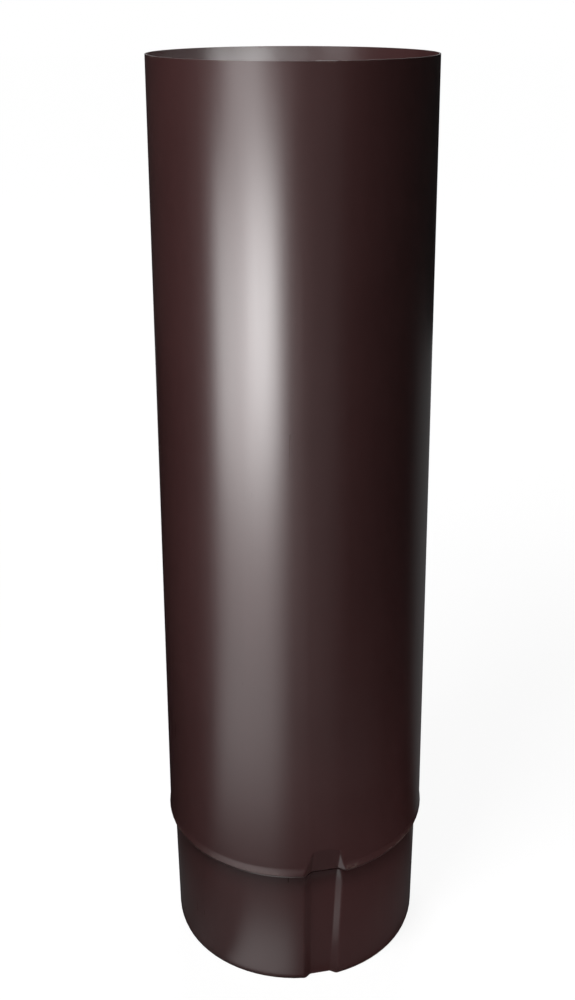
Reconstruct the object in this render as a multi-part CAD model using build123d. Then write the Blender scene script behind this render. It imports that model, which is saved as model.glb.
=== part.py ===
from build123d import *
import os
from math import asin, cos, radians, sin, sqrt, tan

# Round steel rainwater downpipe, standing on its spigot. Millimetres, +Z up.
# The origin is on the pipe's axis at the foot of the spigot, and the seam faces -Y.

# Tube
tube_diameter = 90.0
pipe_length = 306.0
sheet = 0.6

# Swaged spigot, which slides into the next pipe's bore
spigot_length = 42.6
spigot_clearance = 1.0
spigot_taper = 0.75
foot_curl_height = 2.0
foot_curl_bend = 5.0

# Rolled bead that ends the tube above the spigot
bead_height = 4.0
bead_rise = 0.3
bead_bend = 0.8

# Groove pressed into the spigot and out through the bead, so that it clears the seam inside the next pipe
groove_depth = 2.2
groove_floor_width = 6.8
groove_wall_angle = 53.0
groove_lean = 2.6
groove_floor_bend = 1.0
groove_mouth_bend = 0.6
groove_run_out = 10.5
groove_slope_length = 14.0
groove_slope_bend = 12.0

# Lock seam, hooked and folded flat inside the tube
seam_width = 6.8
seam_joggle = 1.2
seam_gap = 0.1
seam_folds = 3

tube_radius = tube_diameter / 2
bore_radius = tube_radius - sheet
spigot_top_radius = bore_radius - spigot_clearance
spigot_foot_radius = spigot_top_radius - spigot_taper

# Heights where the groove's floor starts to slope out, and where it meets the tube's surface
slope_top = spigot_length + groove_run_out
slope_foot = slope_top - groove_slope_length

# Everything is made longer than the pipe by this much at both ends, and cut to length at the end
overrun = tube_diameter / 9


def spigot_radius(height):
    """Outside radius of the tapered spigot at a height, also past its two ends."""
    return spigot_foot_radius + spigot_taper * height / spigot_length


def floor_radius(height):
    """Outside radius of the groove's floor along the spigot."""
    return spigot_radius(height) - groove_depth


def turned(*outline):
    """The solid of revolution of a half outline that closes on the axis."""
    return revolve(Plane.XZ * make_face(Curve() + list(outline)), Axis.Z)


def spigot_body(inset):
    """The spigot filled solid, with its surface moved inwards by inset and its foot curled in."""
    top = spigot_length + inset
    bend = foot_curl_bend - inset
    turn = asin(foot_curl_height / foot_curl_bend)
    curl_top = (spigot_radius(foot_curl_height) - inset, foot_curl_height)
    curl_end = (curl_top[0] - bend * (1 - cos(turn)), foot_curl_height - bend * sin(turn))
    foot = (curl_end[0] - (overrun + curl_end[1]) * tan(turn), -overrun)
    return turned(
        TangentArc(curl_top, curl_end, tangent=(0, -1)),
        Polyline(curl_end, foot, (0, -overrun), (0, top), (spigot_radius(top) - inset, top), curl_top),
    )


def tube_body(inset):
    """The tube with its bead filled solid, with their surface moved inwards by inset."""
    radius = tube_radius - inset
    rim = pipe_length + overrun
    crest_radius = radius + bead_rise
    bend = bead_bend + sheet - inset
    shoulder = spigot_length + inset
    underside = (crest_radius - bend, shoulder)
    crest = (crest_radius, shoulder + bend)
    bead_top = (radius, spigot_length + bead_height)
    return turned(
        Polyline(bead_top, (radius, rim), (0, rim), (0, shoulder), underside),
        TangentArc(underside, crest, tangent=(1, 0)),
        Spline(crest, bead_top, tangents=[(0, 1), (0, 1)]),
    )


def groove_tool(inset):
    """What the groove takes away: a trough with sloping walls and a sloped upper end, grown by inset."""
    reach = tube_radius + bead_rise + sheet - floor_radius(0)
    outside = tube_radius + reach + overrun
    below = -reach - overrun
    slope = groove_slope_length / (tube_radius - floor_radius(slope_foot))
    slope_corner = (floor_radius(slope_foot), slope_foot)
    side = make_face(Polyline(
        (floor_radius(below), below),
        slope_corner,
        (outside, slope_top + slope * (outside - tube_radius)),
        (outside, below),
        close=True,
    ))
    side = fillet(side.vertices().sort_by_distance((*slope_corner, 0))[0], groove_slope_bend)
    deep = offset(side, inset, kind=Kind.INTERSECTION) if inset else side
    shallow = offset(side, inset - reach, kind=Kind.INTERSECTION)
    half_floor = groove_floor_width / 2 + inset * tan(radians(90 - groove_wall_angle) / 2)
    half_mouth = half_floor + reach * tan(radians(groove_wall_angle))
    across = Plane(origin=(0, 0, 0), x_dir=(0, -1, 0), z_dir=(-1, 0, 0))

    def leaning(section, x):
        """A section on the folded side of the seam, where the groove widens as it rises."""
        return (across.offset(-x) * section).rotate(Axis((x, 0, 0), (0, 1, 0)), groove_lean)

    trough = loft(
        [
            leaning(shallow, half_mouth),
            leaning(deep, half_floor),
            across.offset(half_floor) * deep,
            across.offset(half_mouth) * shallow,
        ],
        ruled=True,
    )
    floor_faces = trough.faces().filter_by(
        lambda face: face.normal_at().Y > 0.1 and abs(face.normal_at().X) < 0.1
    )
    floor_edges = floor_faces.edges().filter_by(lambda edge: abs(edge.tangent_at(0.5).X) < 0.5)
    return fillet(floor_edges, groove_floor_bend + inset)


def grooved(body, inset):
    """The groove pressed into a round body, with its mouth rounded."""
    pressed = body - groove_tool(inset)
    skin = body.faces()
    mouth = []
    for edge in pressed.edges():
        middle = edge.position_at(0.5)
        at_the_seam = middle.Y < -spigot_foot_radius / 2
        level = edge.bounding_box().size.Z < sheet / 10
        if at_the_seam and not level and min(face.distance_to(middle) for face in skin) < sheet / 100:
            mouth.append(edge)
    return fillet(mouth, groove_mouth_bend + sheet - inset)


def filled_pipe(inset):
    """The whole pipe filled solid, with its surface moved inwards by inset."""
    return grooved(spigot_body(inset), inset) + grooved(tube_body(inset), inset)


def along_the_seam(section):
    """A section swept down the seam and along the groove's floor.

    Its x runs across the seam and its y inwards from the sheet's outside.
    """
    route = FilletPolyline(
        (0, -floor_radius(-overrun), -overrun),
        (0, -floor_radius(slope_foot), slope_foot),
        (0, -tube_radius, slope_top),
        (0, -tube_radius, pipe_length + overrun),
        radius=groove_slope_bend,
    )
    start = Plane(origin=route @ 0, x_dir=(1, 0, 0), z_dir=route % 0)
    return sweep(start * section, path=route)


def lock_seam():
    """The seam's folded layers, and the gap that winds between them."""
    pitch = sheet + seam_gap
    half = seam_width / 2
    seat = sheet + bore_radius - sqrt(bore_radius ** 2 - half ** 2)
    top = seat + seam_folds * pitch
    fold = (seam_folds * pitch - seam_gap) / 2
    fold_start = half - fold
    layers = make_face(Curve() + [
        Polyline(
            (fold_start, seat + seam_gap),
            (fold_start, sheet / 2),
            (-half, sheet / 2),
            (-half, seat),
            (-half + seam_joggle, top),
            (fold_start, top),
        ),
        ThreePointArc((fold_start, top), (half, top - fold), (fold_start, seat + seam_gap)),
    ])
    joggled_corner = layers.vertices().sort_by_distance((-half + seam_joggle, top, 0))[0]
    layers = fillet(joggled_corner, sheet)
    first = seat + seam_gap / 2
    second = first + pitch
    third = second + pitch
    hook_start = -half + seam_joggle / 2 + 2.5 * pitch
    hook_end = (hook_start - pitch / 2, first + pitch / 2)
    fold_end = (fold_start + pitch / 2, second + pitch / 2)
    winding = Curve() + [
        Line((half - fold / 2, first), (hook_start, first)),
        ThreePointArc((hook_start, first), hook_end, (hook_start, second)),
        Line((hook_start, second), (fold_start, second)),
        ThreePointArc((fold_start, second), fold_end, (fold_start, third)),
        Line((fold_start, third), (-half + seam_joggle, third)),
    ]
    return along_the_seam(layers), along_the_seam(trace(winding, seam_gap).face())


seam, seam_slot = lock_seam()
stock = Pos(0, 0, pipe_length / 2) * Box(2 * tube_diameter, 2 * tube_diameter, pipe_length)
sheet_work = filled_pipe(0) - filled_pipe(sheet) + seam
downpipe = (sheet_work & stock) - seam_slot

os.makedirs("parts", exist_ok=True)
export_step(downpipe, "parts/downpipe.step")
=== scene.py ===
import bpy
from math import cos, radians, sin
from mathutils import Euler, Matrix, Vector

# Dark brown coated downpipe, standing on its spigot. Metres, in the CAD's own frame.
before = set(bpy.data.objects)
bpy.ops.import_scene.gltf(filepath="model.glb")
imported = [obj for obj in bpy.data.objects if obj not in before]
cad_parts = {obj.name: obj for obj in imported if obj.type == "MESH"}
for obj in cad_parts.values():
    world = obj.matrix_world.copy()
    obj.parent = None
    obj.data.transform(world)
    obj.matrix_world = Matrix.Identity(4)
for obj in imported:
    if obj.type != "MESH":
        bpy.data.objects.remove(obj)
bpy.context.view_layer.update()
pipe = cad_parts["downpipe"]

# Camera, fitted to the photograph. The pixels count from its top left corner, and the angles are in degrees.
photo_height = 1000
photo_middle = (287.5, 500.0)
focal_pixels = 1257.7
axis_pixel = (302.5, 360.8)
sensor = 36.0
camera_distance = 0.3944
camera_side = 0.0025
camera_height = 0.3256
camera_pitch = -16.61
camera_roll = -0.05
camera_yaw = 0.05
seam_turn = 12.3

# Finish: linear colours, and how rough the coat is
coat_colour = (0.045, 0.016, 0.016)
rubbed_colour = (0.11, 0.07, 0.06, 1)
cut_colour = (0.06, 0.045, 0.045, 1)
cut_metallic = 0.5
rubbed_share = 0.7
satin_range = (0.28, 0.31)
satin_mottle = 0.01
rubbed_roughness = 0.15
cut_roughness = 0.4
gloss_roughness = 0.30

# Grain of the finish: the noises' scale per metre and their detail, and how far the colour swings with them
streak_grain = (900, 3)
streak_stretch = (1, 1, 0.015)
mottle_grain = (26, 3)
pigment_grain = (2600, 2)
peel_grain = (720, 1)
rub_patches = (70, 2)
rub_scratches = (1100, 4)
noise_range = (0.3, 0.7)
mottle_swing = (0.95, 1.05)
pigment_swing = (0.96, 1.04)
streak_swing = (0.98, 1.02)
peel_depth = 0.000004
wear_depth = -0.00001

# Where the finish changes, each from none to full, by height or by distance from the axis
bead_wear_radius = (0.04508, 0.04525)
bead_wear_height = (0.0465, 0.0455)
rim_wear_height = (0.3054, 0.3059)
foot_wear_height = (0.0012, 0.0004)
cut_height = (0.30585, 0.30595)
cut_upwards = (0.9, 0.98)
patch_range = (0.44, 0.60)
scratch_range = (0.42, 0.60)

# Painted shade: the coat's colour darkens by this share towards the crease under the bead, where the bead's shadow
# falls, and the tube above and around it is left out
painted_shade_height = (0.034, 0.0424)
painted_shade_share = 0.6
bead_height = (0.0428, 0.0432)
bead_radius = (0.0445, 0.0447)

# Studio: stage sizes, and levels of light at which the floor near the pipe, the far floor and the room show
ambient = 0.02
floor_size = 6.0
floor_grey = 0.5
floor_share = 0.7
floor_level = 1.26
far_floor_level = 1.42
floor_fade = (0.3, 1.0)
room_level = 0.68
room_fade = (0.25, 0.9)
room_turns = (32, 75)
curtain_grey = 0.02
studio_reach = 0.8
curtain_top = 1.2
cloth_inner = 0.03
cloth_lift = 0.0001
ring_steps = 48

# Lamps. Turns are in degrees from the camera's side of the pipe towards its right, and the power is in watts.
lamps = {
    # name: turn, distance, height, width, tall, watts, height aimed at, what it reaches
    "key": (-35, 0.5, 0.10, 0.48, 0.20, 1.65, 0.10, "gloss"),
    "key_bright": (-24, 0.5, 0.12, 0.18, 0.16, 0.5, 0.12, "gloss"),
    "key_high": (-35, 0.5, 0.30, 0.25, 0.15, 0.3, 0.2, "gloss"),
    "sky": (-38, 0.45, 0.78, 0.3, 0.3, 4.6, 0.15, "all"),
    "front": (-32, 0.5, 0.24, 0.48, 0.20, 0.82, 0.12, "matt"),
    "sheen": (24, 0.5, 0.10, 0.22, 0.40, 0.028, 0.10, "gloss"),
    "top_right": (28, 0.5, 0.6, 0.2, 0.25, 0.17, 0.2, "all"),
    "back": (180, 0.45, 0.85, 0.3, 0.3, 3.6, 0.15, "all"),
    "bore_key": (46, 0.040, 0.297, 0.030, 0.010, 0.013, 0.297, "all"),
    "bore_right": (88, 0.040, 0.297, 0.030, 0.010, 0.008, 0.297, "all"),
    "bore_front": (0, 0.040, 0.297, 0.030, 0.010, 0.004, 0.297, "all"),
    "bore_left": (-55, 0.040, 0.297, 0.030, 0.010, 0.002, 0.297, "all"),
    "foot_fill": (50, 0.15, 0.02, 0.08, 0.02, 0.06, 0.02, "matt"),
}

# Pools of light on the cloth, which gloss alone sees
pools = {
    # name: turn, degrees aside where it ends and where it is full, strength at those,
    # and ramps over the distance from the axis: start, end, share at the start and at the end
    "key": (-35, (34, 14), (0.0, 1.15), [(0.09, 0.20, 0.03, 1.0)]),
    "sheen": (13, (27, 8), (0.0, 0.11), [(0.09, 0.20, 0.03, 1.0)]),
    "foot": (-17, (22, 0), (0.04, 0.65), [(0.0425, 0.0455, 0.0, 1.0), (0.052, 0.085, 1.0, 0.0)]),
    "edge": (140, (32, 0), (0.0, 0.09), []),
    "back": (180, (24, 0), (0.0, 0.9), [(0.06, 0.3, 0.0, 1.0)]),
}


def around(turn, distance, height):
    """A point at a distance from the pipe's axis, turned from the camera's side towards its right."""
    angle = radians(turn - seam_turn)
    return Vector((distance * sin(angle), -distance * cos(angle), height))


def make_camera():
    data = bpy.data.cameras.new("photo_camera")
    data.sensor_width = sensor
    data.lens = focal_pixels / photo_height * sensor
    data.shift_x = (photo_middle[0] - axis_pixel[0]) / photo_height
    data.shift_y = (axis_pixel[1] - photo_middle[1]) / photo_height
    camera = bpy.data.objects.new("photo_camera", data)
    camera.location = around(0, camera_distance, camera_height) + around(90, camera_side, 0)
    facing = Euler((radians(90 + camera_pitch), 0, radians(-seam_turn - camera_yaw))).to_matrix()
    camera.rotation_euler = (facing @ Euler((0, 0, radians(camera_roll))).to_matrix()).to_euler()
    bpy.context.scene.collection.objects.link(camera)
    bpy.context.scene.camera = camera


class NodeTree:
    """A material's or the world's new node tree. Its methods add a node and return the socket that it gives."""

    def __init__(self, owner, output_kind="OutputMaterial"):
        owner.use_nodes = True
        self.nodes = owner.node_tree.nodes
        self.links = owner.node_tree.links
        self.nodes.clear()
        self.output = self.add(output_kind)

    def add(self, kind, inputs=None, **values):
        """A node with its settings, and with each input set to a value or linked to a socket."""
        node = self.nodes.new("ShaderNode" + kind)
        for name, value in values.items():
            setattr(node, name, value)
        for name, value in (inputs or {}).items():
            if isinstance(value, bpy.types.NodeSocket):
                self.links.new(value, node.inputs[name])
            else:
                node.inputs[name].default_value = value
        return node

    def surface(self, shader):
        self.links.new(shader.outputs[0], self.output.inputs["Surface"])

    def place(self, kind="Object"):
        return self.add("TexCoord").outputs[kind]

    def combined(self, operation, *values):
        """Several values added up, multiplied or compared, two at a time."""
        total = values[0]
        for value in values[1:]:
            total = self.add("Math", {0: total, 1: value}, operation=operation).outputs[0]
        return total

    def vector(self, operation, first, second=None):
        inputs = {0: first} if second is None else {0: first, 1: second}
        node = self.add("VectorMath", inputs, operation=operation)
        return node.outputs["Value" if operation in ("LENGTH", "DOT_PRODUCT") else "Vector"]

    def upright(self, vector):
        return self.add("SeparateXYZ", {"Vector": vector}).outputs["Z"]

    def level(self, vector):
        return self.vector("MULTIPLY", vector, (1, 1, 0))

    def ramp(self, value, start, end, low=0.0, high=1.0, smooth=False):
        return self.add("MapRange", {
            "Value": value, "From Min": start, "From Max": end, "To Min": low, "To Max": high,
        }, interpolation_type="SMOOTHSTEP" if smooth else "LINEAR").outputs["Result"]

    def noise(self, place, scale, detail):
        return self.add("TexNoise", {"Vector": place, "Scale": scale, "Detail": detail}).outputs["Fac"]

    def mixed(self, factor, first, second):
        """Two colours mixed. The Mix node's colour sockets are told apart by their numbers alone."""
        return self.add("Mix", {0: factor, 6: first, 7: second}, data_type="RGBA").outputs[2]


def coated_steel():
    """Satin coat with mottled pigment, faint rolling streaks, rubbed edges, tarnished steel on the cut rim, and painted
    shade darkening the coat under the bead.
    """
    material = bpy.data.materials.new("brown_coating")
    tree = NodeTree(material)
    spot = tree.place()
    height = tree.upright(spot)
    radius = tree.vector("LENGTH", tree.level(spot))
    upwards = tree.upright(tree.add("NewGeometry").outputs["Normal"])

    streaks = tree.noise(tree.vector("MULTIPLY", spot, streak_stretch), *streak_grain)
    mottle = tree.noise(spot, *mottle_grain)
    pigment = tree.noise(spot, *pigment_grain)
    peel = tree.noise(spot, *peel_grain)
    patches = tree.ramp(tree.noise(spot, *rub_patches), *patch_range)
    scratches = tree.ramp(tree.noise(spot, *rub_scratches), *scratch_range)

    bead = tree.combined("MULTIPLY", tree.ramp(radius, *bead_wear_radius), tree.ramp(height, *bead_wear_height))
    rim = tree.ramp(height, *rim_wear_height)
    foot = tree.ramp(height, *foot_wear_height)
    edge = tree.combined("MAXIMUM", bead, rim, foot)
    wear = tree.combined("MULTIPLY", edge, patches, scratches)
    cut = tree.combined("MULTIPLY", tree.ramp(upwards, *cut_upwards), tree.ramp(height, *cut_height))
    # Painted shade: the coat darkens towards the crease under the bead, where the bead casts its shadow
    above = tree.combined("MAXIMUM", tree.ramp(height, *bead_height), tree.ramp(radius, *bead_radius))
    painted_shade = tree.combined("MAXIMUM", tree.ramp(height, *painted_shade_height, 1.0, painted_shade_share), above)

    # The coat's tone: random mottle, pigment and streaks, times the painted shade under the bead
    shade = tree.combined(
        "MULTIPLY",
        tree.ramp(mottle, *noise_range, *mottle_swing),
        tree.ramp(pigment, *noise_range, *pigment_swing),
        tree.ramp(streaks, *noise_range, *streak_swing),
        painted_shade,
    )
    coat = tree.add("VectorMath", {0: coat_colour, 3: shade}, operation="SCALE").outputs["Vector"]
    rubbed = tree.mixed(tree.combined("MULTIPLY", wear, rubbed_share), coat, rubbed_colour)
    roughness = tree.combined(
        "ADD",
        tree.ramp(streaks, *noise_range, *satin_range),
        tree.ramp(mottle, *noise_range, -satin_mottle, satin_mottle),
        tree.combined("MULTIPLY", wear, rubbed_roughness),
        tree.combined("MULTIPLY", cut, cut_roughness),
    )
    fine = tree.add("Bump", {"Height": peel, "Strength": 1.0, "Distance": peel_depth}).outputs[0]
    relief = tree.add("Bump", {"Height": wear, "Strength": 1.0, "Distance": wear_depth, "Normal": fine}).outputs[0]
    tree.surface(tree.add("BsdfPrincipled", {
        "Base Color": tree.mixed(cut, rubbed, cut_colour),
        "Metallic": tree.combined("MULTIPLY", cut, cut_metallic),
        "Roughness": roughness,
        "Normal": relief,
        "Coat Weight": 1.0,
        "Coat Roughness": gloss_roughness,
        "Coat Normal": relief,
    }))
    return material


def seen_directly(tree):
    """1 for the camera's rays and for reflections and refractions, and 0 for the light that falls on things."""
    path = tree.add("LightPath").outputs
    return tree.combined("MAXIMUM", path["Is Camera Ray"], path["Is Glossy Ray"], path["Is Transmission Ray"])


def away_from_backdrop(tree, place):
    """0 behind the pipe as the photograph sees it, rising to 1 in front of it and at its sides."""
    aside = tree.vector("NORMALIZE", tree.level(place))
    facing = tree.vector("DOT_PRODUCT", aside, around(180, 1, 0))
    return tree.ramp(facing, *(cos(radians(turn)) for turn in room_turns), smooth=True)


def make_world():
    world = bpy.data.worlds.new("studio")
    tree = NodeTree(world, "OutputWorld")
    away = away_from_backdrop(tree, tree.place("Generated"))
    white = tree.ramp(away, 0.0, 1.0, 1.0, room_level)
    strength = tree.ramp(seen_directly(tree), 0.0, 1.0, ambient, white)
    tree.surface(tree.add("Background", {"Color": (1, 1, 1, 1), "Strength": strength}))
    bpy.context.scene.world = world


def stage_ring(name, inner, outer, low, high):
    """A stage piece right round the pipe, from a distance and height to another distance and height."""
    verts = []
    for step in range(ring_steps + 1):
        turn = 360 * step / ring_steps
        verts += [around(turn, inner, low), around(turn, outer, high)]
    faces = [(2 * step, 2 * step + 2, 2 * step + 3, 2 * step + 1) for step in range(ring_steps)]
    mesh = bpy.data.meshes.new(name)
    mesh.from_pydata(verts, [], faces)
    ring = bpy.data.objects.new(name, mesh)
    bpy.context.scene.collection.objects.link(ring)
    return ring


def make_floor():
    """A pale floor that takes the pipe's shadow, white behind the pipe and light grey far off at its sides."""
    material = bpy.data.materials.new("pale_floor")
    tree = NodeTree(material)
    distance = tree.vector("LENGTH", tree.place())
    level = tree.ramp(distance, *floor_fade, floor_level, far_floor_level)
    far = tree.ramp(distance, *room_fade, smooth=True)
    dim = tree.combined("MULTIPLY", far, away_from_backdrop(tree, tree.place()))
    white = tree.ramp(dim, 0.0, 1.0, 1.0, room_level)
    plain = tree.add("Emission", {"Strength": tree.combined("MULTIPLY", level, white)})
    painted = tree.add("BsdfDiffuse", {"Color": (floor_grey, floor_grey, floor_grey, 1)})
    share = tree.combined("MULTIPLY", seen_directly(tree), floor_share)
    tree.surface(tree.add("MixShader", {0: share, 1: painted.outputs[0], 2: plain.outputs[0]}))
    stage_ring("floor", 0.0, floor_size, 0.0, 0.0).data.materials.append(material)


def graded_cloth():
    """Dark cloth on the floor with the pools of light that lie round the pipe."""
    material = bpy.data.materials.new("graded_cloth")
    tree = NodeTree(material)
    spot = tree.place()
    distance = tree.vector("LENGTH", spot)
    aside = tree.vector("NORMALIZE", spot)
    glows = []
    for turn, sides, strengths, reaches in pools.values():
        facing = tree.vector("DOT_PRODUCT", aside, around(turn, 1, 0))
        glow = tree.ramp(facing, *(cos(radians(side)) for side in sides), *strengths, smooth=True)
        shares = [tree.ramp(distance, *reach, smooth=True) for reach in reaches]
        glows.append(tree.combined("MULTIPLY", glow, *shares))
    tree.surface(tree.add("Emission", {"Strength": tree.combined("ADD", *glows)}))
    return material


def black_curtain():
    material = bpy.data.materials.new("black_curtain")
    tree = NodeTree(material)
    tree.surface(tree.add("BsdfDiffuse", {"Color": (curtain_grey, curtain_grey, curtain_grey, 1)}))
    return material


def make_flags():
    """The curtain and the cloth, which keep the white surroundings out of the coat's gloss and show in nothing else."""
    curtain = stage_ring("curtain", studio_reach, studio_reach, 0.0, curtain_top)
    curtain.data.materials.append(black_curtain())
    cloth = stage_ring("cloth", cloth_inner, studio_reach, cloth_lift, cloth_lift)
    cloth.data.materials.append(graded_cloth())
    for card in (curtain, cloth):
        card.visible_camera = False
        card.visible_diffuse = False
        card.visible_transmission = False
        card.visible_shadow = False


def softbox(name, turn, distance, height, width, tall, watts, aim_height, reaches):
    """A soft lamp that lights matt surfaces, shows in gloss, or both."""
    data = bpy.data.lights.new(name, "AREA")
    data.shape = "RECTANGLE"
    data.size = width
    data.size_y = tall
    data.energy = watts
    lamp = bpy.data.objects.new(name, data)
    lamp.location = around(turn, distance, height)
    aim = Vector((0, 0, aim_height)) - lamp.location
    lamp.rotation_euler = aim.to_track_quat("-Z", "Y").to_euler()
    lamp.visible_camera = False
    lamp.visible_glossy = reaches != "matt"
    lamp.visible_diffuse = reaches != "gloss"
    bpy.context.scene.collection.objects.link(lamp)


make_camera()
pipe.material_slots[0].material = coated_steel()
make_world()
make_floor()
make_flags()
for name, values in lamps.items():
    softbox(name, *values)

bpy.context.scene.view_settings.view_transform = "Standard"
